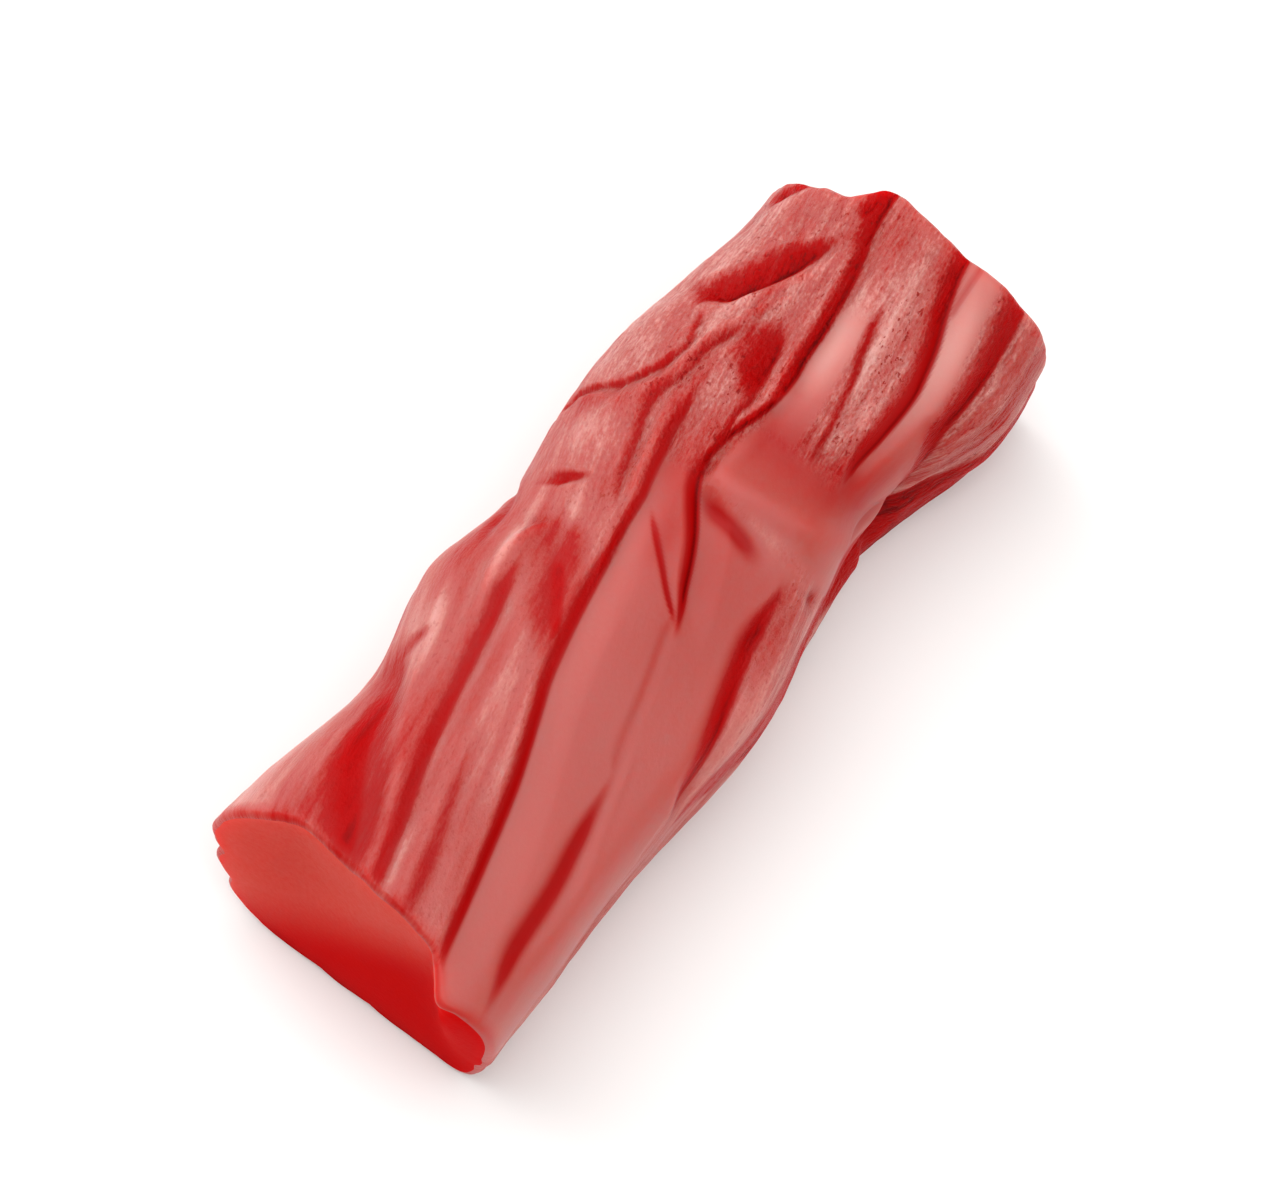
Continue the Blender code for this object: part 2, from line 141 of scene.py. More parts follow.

# Folds along the piece: path of the crease as (millimetres along, degrees around), depth,
# breadth of the slope down to it on its left and of the rise on its right, rounding, the
# lengths over which it fades in and out (0 where it runs through a cut), and the strength of
# the painted shade, clear red, on its slope. Crests have a depth below 0 and take a painted
# highlight.
LONG_FOLDS = {
    "near hollow": (((-2, -14), (2.3, -20), (3.8, -24), (5.1, -30), (6.6, -37), (7.9, -43.5),
                     (9.5, -50.5), (11, -57.5), (12.5, -65), (13.5, -70)),
                    1.1, 3.6, 1.4, 1.0, 0, 3, 0.55),
    "core of the near hollow": (((-2, -15), (1.5, -22), (2.8, -26), (4.3, -33), (5.7, -40.5),
                                 (7.3, -47), (8.8, -51.5), (9.9, -54.5), (11.5, -60.5)),
                                0.15, 2.5, 1.2, 0.9, 0, 3, 1.0),
    "groove left of the crown": (((-2, 3), (2.2, -7.5), (4.8, -14), (7.8, -22.5), (10.7, -29.5),
                                  (13.4, -34.5), (15.9, -38.5), (17.5, -41.5), (20, -46)),
                                 0.55, 1.1, 1.6, 0.5, 0, 4, 0.75),
    "shallow groove": (((-2, 16), (1.1, 10), (4.1, 3.5), (6.5, -3), (9, -10.5), (11, -15)),
                       0.3, 0.9, 1.2, 0.6, 0, 5, 0.35),
    "long groove": (((-6, 37), (0.9, 27), (4.8, 21), (7.1, 16.5), (9.8, 10), (11.7, 4),
                     (13.2, -1), (14.7, -6), (17.3, -12), (19.9, -17), (22.2, -21),
                     (24.6, -25)), 0.7, 1.0, 2.2, 0.4, 13, 5, 0.88),
    "long groove beyond the crown": (((19.5, -16), (20.7, -18.5), (22.2, -21), (23.5, -23),
                                      (24.6, -24), (25.4, -25), (26.3, -27), (27.6, -29.5),
                                      (28.6, -31.5), (30, -33), (31.6, -34.5), (33, -35.5)),
                                     0.6, 0.55, 1.6, 0.25, 4, 4, 0.65),
    "near right groove": (((-1, 49.5), (0.3, 47.8), (3.7, 45), (7.2, 43), (10.1, 40),
                           (12.8, 35.5), (14.5, 32.5)), 0.5, 1.3, 1.4, 0.5, 5, 6, 0.6),
    "near right crest": (((7, 49.5), (9, 46), (11, 42.5), (13, 39), (15.5, 33)),
                         -0.12, 0.4, 0.5, 0.2, 2, 2, 0),
    "near right crease": (((13, 35.5), (14.8, 30), (17.4, 24), (20.1, 17), (22, 12)),
                          0.08, 0.6, 0.8, 0.4, 1.5, 1.5, 0.12),
    "main groove": (((20.5, 20), (21.9, 16), (22.9, 12), (24.3, 6), (25.5, 0), (26.5, -6),
                     (27.2, -10), (28, -13.5), (28.8, -15), (29.6, -15), (30.6, -14)),
                    0.8, 0.9, 1.8, 0.3, 3, 4, 1.0),
    "pinch of the main groove": (((27.5, -12), (28.3, -14.5), (29.5, -15), (30.6, -14),
                                  (31.5, -12), (32.4, -10.5), (33.4, -9.5), (34.3, -9.5)),
                                 0.45, 0.35, 1.2, 0.15, 1.5, 1.5, 0.9),
    "far main groove": (((31.5, -12), (32.4, -10.5), (33.4, -9.5), (34.3, -9.5), (35.1, -10),
                         (36.3, -12), (37.8, -13), (39.2, -15), (40.5, -17), (42, -20),
                         (43.6, -24), (48, -28)), 0.8, 0.8, 1.8, 0.3, 4, 0, 0.9),
    "fork of the main groove": (((21, 17), (21.4, 14), (22.4, 4), (23.5, -6), (24.5, -15),
                                 (25.3, -22)), 0.25, 0.35, 0.8, 0.25, 1, 1.5, 0.5),
    "right middle groove": (((13.8, 64), (15.3, 60.5), (16.4, 58), (17.9, 55), (19.6, 51.5),
                             (21.6, 47.5), (22.9, 44.5), (24.1, 42), (25.1, 39.5), (27, 34)),
                            0.6, 1.4, 1.4, 0.4, 2, 4, 0.95),
    "line beside the main groove": (((29.2, -15.5), (29.7, -16), (30.7, -16), (31.5, -17),
                                     (32.3, -16.5), (33.5, -18)),
                                    0.2, 0.35, 0.45, 0.15, 1, 1, 0.6),
    "far middle hollow": (((31.5, -17), (32.3, -17), (33.5, -18.5), (34.4, -20), (35.5, -22),
                           (36.5, -25), (37.6, -28)), 0.8, 2.1, 1.0, 0.4, 3, 2.5, 0.95),
    "left middle line": (((23.2, -28), (24.7, -33), (25.9, -36.5), (27.2, -39), (28.4, -42),
                          (29.3, -44), (30.3, -44.5), (31.3, -42.5), (32.2, -41.5), (33.4, -42),
                          (34.7, -39.5), (35.6, -37), (36.2, -35)),
                         0.45, 0.5, 0.9, 0.25, 2.5, 1.6, 0.36),
    "crest between the lines": (((24.3, -28.5), (25.4, -31), (26.6, -33), (27.8, -35),
                                 (29.2, -37), (30.4, -38)), -0.2, 0.45, 0.5, 0.2, 1.5, 1.5, 0),
    "left crease": (((27.2, -95), (28.1, -80), (28.7, -75), (29.2, -66), (29.7, -59), (30.4, -55),
                     (31.2, -51.5), (32.2, -49), (33.2, -48), (34.1, -49.5), (35.3, -53)),
                    0.4, 0.25, 0.9, 0.12, 0.3, 0.8, 0.5),
    "far left hollow": (((35, -57), (36, -55.5), (36.6, -52), (37.3, -48.5), (38, -45.5),
                         (38.8, -42.5), (39.7, -39.5), (40.6, -37), (41.5, -34.5), (43, -30.5)),
                        1.0, 1.7, 1.0, 0.4, 2, 3, 1.0),
    "crest right of the far left hollow": (((35.8, -51.5), (36.6, -47.5), (37.3, -44), (38, -41),
                                            (38.8, -38), (39.7, -35), (40.6, -32.5)),
                                           -0.3, 0.6, 0.6, 0.2, 1.5, 1.5, 0),
    "left nick": (((18.6, -62), (20.2, -67), (21.4, -70), (23.1, -83), (24, -92)),
                  0.5, 0.8, 0.7, 0.3, 2, 1, 0.7),
    "small left nick": (((23, -65), (23.4, -58), (23.9, -53), (24.5, -48), (25, -44)),
                        0.4, 1.1, 0.6, 0.3, 1, 1, 0.75),
    "faint left line": (((11.2, -64), (12.4, -61), (13.1, -59), (14.2, -56)),
                        0.2, 0.9, 0.8, 0.6, 1.2, 1.2, 0.42),
    "soft hollow": (((14, -9), (16.5, -15), (17.6, -18), (18.9, -22), (20, -27), (21.1, -33),
                     (22, -38), (23, -46)), 0.6, 3.6, 0.8, 1.6, 4, 2, 0.45),
    "core of the soft hollow": (((15.8, -13), (17.4, -18), (18.2, -21.5), (19.2, -26.5),
                                 (20, -31), (20.8, -35)), 0.15, 1.3, 0.6, 0.5, 2, 1.5, 0.9),
    "left crest": (((15.2, -43.5), (16.8, -46.5), (17.8, -48.5), (18.7, -50), (19.7, -50.5),
                    (20.6, -49.5), (21.4, -47.5), (22.5, -43.5)), -0.45, 0.6, 0.7, 0.3, 2, 2, 0),
    "left middle crest": (((24, -52), (27, -54), (30, -50), (32, -48)), -0.3, 1.4, 1.4,
                          0.8, 2, 2, 0),
    "far left crest": (((29.4, -52), (31, -48), (32.5, -45.5), (34, -44), (35.1, -43),
                        (35.9, -40.5), (36.7, -38), (37.5, -35.5), (38.7, -32.5)),
                       -0.25, 0.45, 0.5, 0.2, 4, 1.5, 0),
    "far top crest": (((42, -37), (44, -37), (48, -40)), -0.25, 0.8, 0.7, 0.4, 2, 0, 0),
    "far top groove": (((43.6, -30.5), (45, -29.5), (48, -31)), 0.35, 0.7, 0.5, 0.3, 1, 0,
                       0.8),
    "far left notch": (((42.2, -69), (43.5, -65), (44.1, -60), (44.7, -55), (48, -44)),
                       0.5, 0.9, 0.8, 0.3, 1.2, 0, 0.8),
    "far middle groove": (((31.4, 16), (33.5, 13), (35.8, 9.5), (37, 7), (38.3, 3.5),
                           (39.9, -0.5), (41.5, -3)), 0.3, 0.45, 1.6, 0.35, 1.5, 3, 0.5),
    "far right groove": (((31.5, 31), (33.5, 30.5), (35.6, 30.5), (37.1, 30), (38.5, 28.5),
                          (39.6, 26), (41, 22.5), (42.6, 17.5), (44.1, 13.5), (45.8, 10.5),
                          (48, 8)), 0.65, 1.2, 1.2, 0.25, 3, 0, 0.95),
    "line beside the far right groove": (((42.2, 20), (43.2, 18.5), (44.6, 17), (48, 15.5)),
                                         0.12, 0.25, 0.4, 0.2, 1, 0, 0.2),
    "far right hollow": (((32.5, 120), (34.2, 104), (35.3, 88), (35.9, 76), (36.5, 67), (37.2, 59),
                          (38.1, 51), (39.1, 47.5), (40.4, 45), (42.2, 42.5), (43.8, 40),
                          (45.9, 36.5), (48, 31)), 0.6, 1.5, 1.5, 0.3, 1.5, 0, 0.95),
}

# Folds across the piece: path as (degrees around, millimetres along), depth, half-width,
# the degrees over which both ends fade, and the strength of the painted shade it leaves
CROSS_FOLDS = {
    "pinched band": (((-16, 28.0), (-12, 28.2), (5, 28.6), (26, 29.3), (45, 30.4),
                      (62, 31.6)), -0.25, 0.9, 10, 0),
    "hollow before the band": (((-12, 27.4), (0, 26.9), (8, 26.8), (28, 26.4)),
                               0.14, 0.45, 14, 0.6),
    "pressed band": (((-14, 31.7), (10, 31.9), (40, 32.6), (80, 33.8)), 0.4, 2.0, 12, 0.35),
    "dimple": (((44, 27.4), (51, 27.4), (58, 27.4)), 0.25, 0.5, 7, 0.35),
}

# Walls of a fold, and the rise of a ridge: the power by which they curve. How narrow a fold
# is where it has faded, and how much shallower the long folds get towards the far cut
WALL_CURVE = 1.5
FADED_BREADTH = 0.15
FAR_CUT_SHALLOWER = 0.35
FAR_CUT_REACH = 5.0

# Painted shade, clear red, on the slope beside a crease, which faces away from the light:
# from where to where it comes in, in breadths of the slope, and goes out, in roundings of
# the crease. It outlasts the depth where a fold fades, and it keeps closer to the crease on
# the near half
PAINTED_SHADE_COMES_IN = (-1.2, -0.2)
PAINTED_SHADE_GOES_OUT = (-0.2, 1.0)
PAINTED_SHADE_OUTLASTS = 1.3
NEAR_HALF_TIGHTNESS = 2.6
TIGHTNESS_ENDS = (24, 32)

# Painted shade in a sharp crease, a dark line: how much darker it is and how broad, and the
# rounding up to which it is full
CREASE_PAINTED_SHADE = 0.3
CREASE_BREADTH = 0.16
SHARP_ROUNDING = 0.35

# Painted highlight, a pale line on a crest: how much paler it is, its breadth as a share of
# the slope's, and how much painted shade a place may have and still take it
CREST_PAINTED_HIGHLIGHT = 0.6
CREST_SHARE = 0.5
HIGHLIGHT_MOST_SHADE = 0.05

# Places that were pressed smooth: left and right bound as (millimetres along, degrees
# around), and where they start and end
PRESSED = (
    (((0, 27), (5, 19), (9, 9), (13, -2), (17, -13), (23, -22), (28, -34)),
     ((0, 82), (12, 66), (15, 57), (17.5, 51.5), (20.2, 46), (23.2, 40), (26, 37), (28, 41)),
     -3, 28.5),
    (((26, -8), (29, -12), (32, -10), (36, -10)), ((26, 44), (28, 56), (29, 75), (31, 100)),
     26.5, 32.8),
    (((32, -10), (36.7, -12), (41.8, -17)), ((32, 9), (36.8, 4), (42, -4)), 30.5, 40.5),
    (((32, 27), (37.4, 23), (43.3, 14), (48, 5)),
     ((30, 100), (34, 92), (35.1, 80), (35.9, 60), (36.7, 49), (37.6, 43), (39.7, 37),
      (42.7, 31), (48, 23)), 30, 49),
)

# Soft borders of the pressed places: degrees at the sides, millimetres at start and end
PRESSED_SIDES = 3.0
PRESSED_START = 2.0
PRESSED_END = 1.5

# Painted sheen, a pale pink that stands for the satin reflection of the lights: 0 where the
# skin is painted as shade, a plain amount on most of it, down to the darkest painted shade in
# creases, and a set amount on a rim along the near cut
PLAIN_PAINTED_SHEEN = 0.7
DEEPEST_PAINTED_SHADE = -0.2
RIM_PAINTED_SHEEN = 0.5
RIM_BREADTH = 0.9

# Patches of painted light and shade, with more or less painted sheen: millimetres along,
# degrees around, half-length and half-breadth in millimetres, and how much more
PAINTED_LIGHT_AND_SHADE_PATCHES = (
    (10, -45, 12.0, 4.0, -0.14), (2.0, -40, 3.0, 1.4, -0.25), (25, 14, 6.0, 5.0, -0.12),
    (7.5, -32, 3.5, 1.0, -0.12), (32, -28, 4.0, 2.0, -0.08), (44, -14, 3.0, 1.6, -0.06),
    (3.5, -74, 5.0, 1.3, 0.15), (13, -60, 3.0, 1.8, 0.20), (21, -70, 4.0, 1.1, -0.3),
    (37.5, -6, 3.0, 0.8, 0.15), (41, 26, 4.5, 1.0, 0.18), (27.6, 20, 1.0, 3.5, 0.12),
    (24.3, -8, 1.8, 0.9, -0.13), (28.5, -24, 3.0, 1.4, -0.2), (42, 66, 7.0, 2.2, -0.15),
    (19.5, 55.5, 3.0, 0.8, 0.15), (33.5, 18, 2.0, 1.2, 0.12), (14.5, -58, 1.5, 1.0, 0.15),
    (19.4, -50, 2.2, 0.4, 0.15), (31.5, -24, 2.0, 1.2, 0.15), (23, -42, 1.2, 0.8, 0.06),
    (39.5, 6, 4.0, 1.5, 0.12), (29.2, -57, 1.0, 1.3, -0.18), (30.9, -42.5, 1.0, 0.6, -0.1),
    (26.2, -59, 1.3, 0.9, 0.1), (27, -72, 2.0, 1.2, -0.12), (24.8, -42, 1.5, 0.8, -0.1),
    (34.8, 42, 2.2, 1.0, -0.15), (28.3, -67, 0.8, 1.2, -0.28), (36.6, -46.5, 1.6, 0.6, 0.12),
)

# Strip of painted shade, clear red, down the right side, which is turned from the light: where
# it starts as (millimetres along, degrees around), its breadth in degrees, the millimetres
# over which it opens, and its soft borders in degrees
PAINTED_SHADE_STRIP = ((12, 84), (15, 69), (20, 65), (26, 64), (30, 67), (32, 76), (34, 84),
               (38, 86), (42, 86), (48, 84))
PAINTED_SHADE_STRIP_BREADTH = 45.0
PAINTED_SHADE_STRIP_OPENS = (12, 24)
PAINTED_SHADE_STRIP_BORDERS = (5, 6)

# Colour of the skin at each amount of painted sheen, from the darkest painted shade in
# creases, through the clear red of slopes painted as shade, to the palest painted highlight,
# and in its pits
SKIN_TONES = ((DEEPEST_PAINTED_SHADE, "#720608"), (0, "#A40507"), (0.35, "#9E2B29"),
              (PLAIN_PAINTED_SHEEN, "#B0605B"), (1, "#D69D95"))
PIT_COLOUR = "#7E2220"

# Noise: the values between which most of it lies, and how rough its details are
NOISE_SPREAD = (0.3, 0.7)
NOISE_ROUGHNESS = 0.6

# Patterns of the skin as (times longer than broad, how many to a millimetre, detail). Grain
# and pits are drawn coarser than real ones, which would be too fine to show
STREAK_PATTERN = (5.0, 4.5, 3.0)
BAND_PATTERN = (7.0, 0.9, 1.0)
GRAIN_PATTERN = (1.5, 6.0, 3.0)
PIT_PATTERN = (1.5, 4.2, 2.0)
PIT_CLOUD_PATTERN = (2.0, 0.4, 2.0)

# How much the patterns change the painted sheen, more where it ends, and their strength on
# the near half as a share of the far half's
GRAIN_IN_PAINTED_SHEEN = 0.1
STREAKS_IN_PAINTED_SHEEN = 0.1
BANDS_IN_PAINTED_SHEEN = 0.12
BORDER_BREAKUP = 0.3
NEAR_HALF_PATTERNS = 0.3

# Pits: the lows of their noise that count, the clouds that have them, and how dark they are
PIT_LOWS = (-0.85, -0.5)
PIT_CLOUDS = (-0.6, 0.2)
PIT_DARKNESS = 0.75

# Satin of the skin: roughness and what the grain adds, strength of the relief on smooth
# places and what the patterns add, and its height
SKIN_ROUGHNESS = 0.43
GRAIN_IN_ROUGHNESS = 0.05
LEAST_BUMP = 0.04
PATTERN_BUMP = 0.5
SKIN_BUMP_HEIGHT = 0.08

# Light inside the candy: how far red goes in it, and each colour's share of that
RED_REACH = 3.0
REACH_SHARES = (1.0, 0.07, 0.06)

# Cuts: clear red, and a paler colour painted on as light towards the top and left of the cut.
# The painted light comes in between two heights, which are lower by the lean for each
# millimetre to the left, and is cloudy. The grain is drawn coarser than a real blade's marks,
# which would be too fine to show
CUT_RED = "#BC0206"
CUT_PAINTED_LIGHT = "#D2554F"
PAINTED_LIGHT_LEAN = 0.9
PAINTED_LIGHT_COMES_IN = (4.6, 10.8)
PAINTED_LIGHT_CLOUDS = (0.85, 1.0)
CUT_GRAINS_PER_MM = 3.5
CUT_BUMP_HEIGHT = 0.06

# Grid of the skin: columns round the girth, crowded towards the shown side, rows in
# millimetres from each cut, even rows from a share of the length on, and rings across each
# cut as shares of its breadth
COLUMNS = 312
CROWDING = 0.4
EDGE_ROWS = (0, 0.04, 0.1, 0.18, 0.28, 0.4, 0.6)
MIDDLE_ROWS = 284
MIDDLE_STARTS = 0.019
CUT_RINGS = (0.97, 0.92, 0.84, 0.74, 0.62, 0.48, 0.32, 0.16)

# Studio, in metres: soft boxes as (place, degrees turned about X, breadth and length,
# radiance), light of the room, and half the floor's side
SOFTBOXES = {
    "overhead_softbox": ((0.03, 0.35, 0.60), 0, (0.70, 2.4), 2.8),
    "back_softbox": ((0.20, 1.20, 0.30), -90, (0.8, 0.5), 3.0),
}
ROOM_LIGHT = 0.12
FLOOR_HALF_SIDE = 1.5

# Camera: the photograph's viewing angle in degrees round and down, the place it aims at and
# the breadth of its view there in metres, its lens and sensor in millimetres, and its
# contrast as brightness in and out
VIEW_ROUND = -51.8
VIEW_DOWN = 68.0
AIM = (0.0005, 0, 0.0078)
VIEW_BREADTH = 0.064
LENS = 200.0
SENSOR = 36.0
CAMERA_TONES = ((0.05, 0.02), (0.14, 0.12), (0.4, 0.42))


def follow(points, x):
    """Height at x of the smooth curve through the points: a cubic between each two, whose
    slope at a point is that of its neighbours, and level past the ends."""
    xs, ys = np.array(points, float).T
    slopes = np.gradient(ys, xs)
    x = np.clip(x, xs[0], xs[-1])
    i = np.clip(np.searchsorted(xs, x) - 1, 0, len(xs) - 2)
    h = xs[i + 1] - xs[i]
    f = (x - xs[i]) / h
    start = ys[i] * (1 + 2 * f) + h * slopes[i] * f
    end = ys[i + 1] * (3 - 2 * f) + h * slopes[i + 1] * (f - 1)
    return start * (1 - f) ** 2 + end * f ** 2


def ease(x, start, end):
    """0 before start, 1 after end and a smooth cubic between; a step where the two are one."""
    if start == end:
        return (x >= start).astype(float)
    f = np.clip((x - start) / (end - start), 0, 1)
    return f * f * (3 - 2 * f)


def within(x, start, end, fade_in, fade_out):
    """1 between start and end and 0 outside, eased just inside both."""
    return ease(x, start, start + fade_in) * (1 - ease(x, end - fade_out, end))


def wrap(degrees):
    """The same angle between -180 and 180."""
    return (degrees + 180) % 360 - 180


def soft_least(p, q, sharpness=3.0):
    """The lesser of two lengths, rounded off where they are close: minus the logarithm of
    the sum of their falling exponentials."""
    return -np.logaddexp(-sharpness * p, -sharpness * q) / sharpness


def bell(angle, centre, spread):
    """1 at the centre, falling off round it as the exponential of a square."""
    return np.exp(-(wrap(angle - centre) / spread) ** 2)


def facet(distance, turned, least_cosine=0.2):
    """Radius of a flat face at a distance from the axis: that over the cosine of how many
    degrees it is turned away, and far out where it faces away."""
    return distance / np.maximum(np.cos(np.radians(turned)), least_cosine)


def body(s, a):
    """Radius of the piece without its folds and ridges: the powers of breadth and height
    add up to 1 on the rounded square, bells are added for the swells, and the flat crown
    and underside cut it off softly."""
    up = np.radians(a + SHOWN_SIDE_TILT)
    half_height = np.where(np.cos(up) > 0, TOP_HALF_HEIGHT, BOTTOM_HALF_HEIGHT)
    broad = np.abs(np.sin(up) / HALF_WIDTH) ** SQUARENESS
    tall = np.abs(np.cos(up) / half_height) ** SQUARENESS
    r = (broad + tall) ** (-1 / SQUARENESS)
    r = r + follow(LEFT_SWELL, s) * bell(a, -SIDE_CENTRE, SIDE_SPREAD)
    r = r + follow(RIGHT_SWELL, s) * bell(a, SIDE_CENTRE, SIDE_SPREAD)
    r = r + follow(SHOULDER, s) * bell(a, SHOULDER_CENTRE, SHOULDER_SPREAD)
    crown = facet(CROWN_HEIGHT + follow(CROWN_RISE, s), a - CROWN_FACING)
    underside = facet(FLOOR_BELOW_AXIS + FLOOR_PRESS, a + SHOWN_SIDE_TILT + 180)
    return soft_least(soft_least(r, crown), underside)


def valley(distance, breadth, rise, rounding):
    """Section of a fold, about 1 in its crease: curved walls that fall over the breadth on
    the left and climb over the rise on the right, with a hyperbola's rounding between."""
    rounded = np.sqrt(distance ** 2 + rounding ** 2)
    return (np.clip(1 + (distance - rounded) / 2 / breadth, 0, 1) ** WALL_CURVE *
            np.clip(1 - (distance + rounded) / 2 / rise, 0, 1) ** WALL_CURVE)


def painted_flank_shade(s, distance, breadth, rounding):
    """Painted shade, clear red, that a fold leaves on the skin: eased up the slope, to a power on
    the near half, plus a bell of darker painted shade in the crease, the stronger the sharper
    it is."""
    tightness = NEAR_HALF_TIGHTNESS + (1 - NEAR_HALF_TIGHTNESS) * ease(s, *TIGHTNESS_ENDS)
    comes_in = ease(distance / breadth, *PAINTED_SHADE_COMES_IN) ** tightness
    goes_out = ease(distance, PAINTED_SHADE_GOES_OUT[0] * rounding, PAINTED_SHADE_GOES_OUT[1] * rounding)
    sharp = min(SHARP_ROUNDING / rounding, 1) ** 2
    crease = CREASE_PAINTED_SHADE * sharp * np.exp(-(distance / CREASE_BREADTH) ** 2)
    return comes_in * (1 - goes_out) + crease


def shown_folds(s, a):
    """Depth of the folds of the shown side, and the painted shade they leave on the skin: up to
    1 on slopes, more in creases, and below 0, a painted highlight, on crests. The depths add
    up, and of two shaded places the more shaded one holds."""
    step = 0.1
    depth_here, painted_shade = np.zeros_like(s), np.zeros_like(s)
    for path, depth, slope, rise, rounding, fade_in, fade_out, painted_shade_strength in LONG_FOLDS.values():
        lean = (follow(path, s + step) - follow(path, s - step)) / (2 * step) * MM_PER_DEGREE
        distance = wrap(a - follow(path, s)) * MM_PER_DEGREE / np.sqrt(1 + lean ** 2)
        fade = within(s, path[0][0], path[-1][0], fade_in, fade_out)
        breadth = slope * (FADED_BREADTH + (1 - FADED_BREADTH) * fade)
        depth_here += depth * fade * valley(distance, breadth, rise, rounding)
        if depth > 0:
            flank = painted_flank_shade(s, distance, breadth, rounding)
            painted_shade = np.maximum(painted_shade, painted_shade_strength * np.minimum(PAINTED_SHADE_OUTLASTS * fade, 1) * flank)
        else:
            # Painted highlight on a crest, where there is little painted shade
            crest = np.exp(-(distance / slope / CREST_SHARE) ** 2)
            painted_shade = np.where(painted_shade > HIGHLIGHT_MOST_SHADE, painted_shade, painted_shade - CREST_PAINTED_HIGHLIGHT * fade * crest)
    depth_here *= 1 - FAR_CUT_SHALLOWER * ease(s, LENGTH - FAR_CUT_REACH, LENGTH)
    for path, depth, half_width, fade, painted_shade_strength in CROSS_FOLDS.values():
        shown = within(a, path[0][0], path[-1][0], fade, fade)
        hollow = shown * np.exp(-((s - follow(path, a)) / half_width) ** 2)
        depth_here += depth * hollow
        painted_shade = np.maximum(painted_shade, painted_shade_strength * hollow)
    return depth_here, painted_shade


def unevenness(s, a, amount, along, around, seed):
    """Smooth random height from -amount to amount that closes round the girth: random
    heights on a grid, along and around millimetres apart, eased from one to the next."""
    rows = int((LENGTH + 2 * UNEVENNESS_MARGIN) / along) + 3
    count = int(2 * np.pi * GIRTH_RADIUS / around)
    grid = np.random.default_rng(seed).uniform(-1, 1, (rows, count))
    u, v = (s + UNEVENNESS_MARGIN) / along, a % 360 / 360 * count
    i, j = np.floor(u).astype(int), np.floor(v).astype(int)
    f, g = ease(u - i, 0, 1), ease(v - j, 0, 1)
    near = grid[i, j % count] * (1 - g) + grid[i, (j + 1) % count] * g
    far = grid[i + 1, j % count] * (1 - g) + grid[i + 1, (j + 1) % count] * g
    return amount * (near * (1 - f) + far * f)


def hidden_ridges(s, a):
    """Depth between the ridges that twist round the rest of the piece, and the painted shade,
    clear red, on their slopes: a wave that falls as a square over its slope's share, and
    climbs as a power over the rest."""
    turns = (RIDGES * (a - follow(TWIST, s)) + RIDGE_PHASE) / 360
    across = (turns + unevenness(s, a, *RIDGE_WANDER)) % 1
    depth = RIDGE_DEPTH * (1 + unevenness(s, a, *RIDGE_UNEVENNESS))
    depth = depth * (NEAR_CUT_RIDGES + (1 - NEAR_CUT_RIDGES) * ease(s, 0, RIDGES_FULL_FROM))
    slope = np.minimum(across / SLOPE_SHARE, 1) ** 2
    rise = np.minimum((1 - across) / (1 - SLOPE_SHARE), 1) ** WALL_CURVE
    crease = ease(across, SLOPE_SHARE - RIDGE_CREASE_BORDER, SLOPE_SHARE + RIDGE_CREASE_BORDER)
    return depth * slope * rise, ease(across, *RIDGE_TURNS_SHADED) * (1 - crease)


def relief(s, a):
    """Depth of the folds of the shown side and, past its ends, between the hidden ridges,
    and the painted shade and highlight on the skin there."""
    depth, painted_shade = shown_folds(s, wrap(a))
    ridge_depth, ridge_shade = hidden_ridges(s, a)
    hidden = ease(np.abs(wrap(a)), SHOWN_SIDE_END, HIDDEN_SIDE_START)
    return depth + hidden * ridge_depth, painted_shade * (1 - hidden) + hidden * ridge_shade


def pressed(s, a):
    """1 inside the pressed places, 0 outside, with soft borders: the highest of the products
    of the eased distances to each place's bounds."""
    result = np.zeros_like(s)
    for left, right, start, end in PRESSED:
        inside = (ease(a - follow(left, s), 0, PRESSED_SIDES) *
                  ease(follow(right, s) - a, 0, PRESSED_SIDES))
        inside = inside * within(s, start, end, PRESSED_START, PRESSED_END)
        result = np.maximum(result, inside)
    return result


def fine_relief(s, a):
    """Height of the streaks, which are level along the twist, plus that of the wrinkles,
    both less where the skin was pressed and more on the far half."""
    flow = a - follow(TWIST, s)
    height = sum(unevenness(s, flow, *streak) for streak in STREAKS)
    height = height + sum(unevenness(s, a, *wrinkle) for wrinkle in WRINKLES)
    half = NEAR_HALF_RELIEF + (FAR_HALF_RELIEF - NEAR_HALF_RELIEF) * ease(s, *FAR_HALF_BEGINS)
    return height * (1 - PRESSED_SMOOTHING * pressed(s, wrap(a))) * half


def radius(s, a):
    """Distance of the skin from the long axis: body, minus relief, plus lumps and fine
    relief."""
    smooth = body(s, a) - relief(s, a)[0] + unevenness(s, a, *LOW_LUMPS)
    return smooth + fine_relief(s, a)


def near_cut(y, z):
    """How far along the near cut lies: its wave across, eased in from bottom to top."""
    return follow(NEAR_CUT_WAVE, y) * ease(z, *CUT_WAVE_HEIGHTS)


def far_cut(y, z):
    """How far along the far cut lies: the length plus its wave, eased in the same way."""
    return LENGTH + follow(FAR_CUT_WAVE, y) * ease(z, *CUT_WAVE_HEIGHTS)


def outline(s, a, inset):
    """y and z of the skin's points: the radius, less the inset, times sine and cosine, and
    never below the floor."""
    r = radius(s, a) - inset
    up = np.radians(a + SHOWN_SIDE_TILT)
    return -r * np.sin(up), np.maximum(r * np.cos(up), -FLOOR_BELOW_AXIS)


